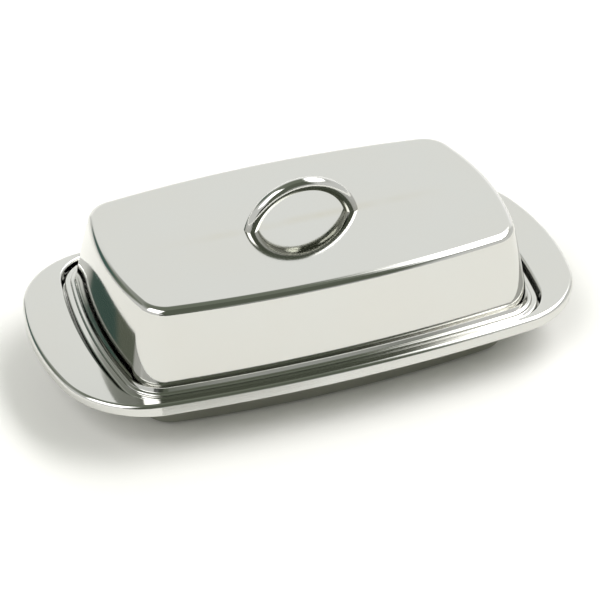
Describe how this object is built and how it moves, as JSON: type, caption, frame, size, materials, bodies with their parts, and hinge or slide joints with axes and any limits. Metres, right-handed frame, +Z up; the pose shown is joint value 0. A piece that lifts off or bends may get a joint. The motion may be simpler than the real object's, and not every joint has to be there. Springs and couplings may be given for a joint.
{
  "type": "butter dish",
  "caption": "Covered butter dish in polished sheet steel: recessed tray with wide end wings and a turned-down flared rim, and a lift-off box lid with an arch handle.",
  "frame": {"origin": "on the table, under the middle of the dish, at the underside of the tray's well", "axes": "+X along the dish's long side, +Y across it towards the back, +Z up"},
  "size_m": [0.19, 0.1022, 0.0643],
  "materials": {
    "tray_steel": "polished stainless steel, faint sheet grain and fine wiping scratches",
    "lid_steel": "polished stainless steel, faint sheet grain and fine wiping scratches",
    "handle_steel": "polished stainless steel rod",
    "screw_steel": "satin zinc-plated steel"
  },
  "bodies": {
    "tray": {"tray": "tray_steel"},
    "lid": {"lid": "lid_steel", "handle": "handle_steel", "handle_screw_left": "screw_steel", "handle_screw_right": "screw_steel", "washer_left": "screw_steel", "washer_right": "screw_steel"}
  },
  "joints": [
    {"name": "lid_lift", "type": "slide", "parent": "tray", "child": "lid", "axis": [0, 0, 1], "range_m": [0, 0.08]}
  ]
}
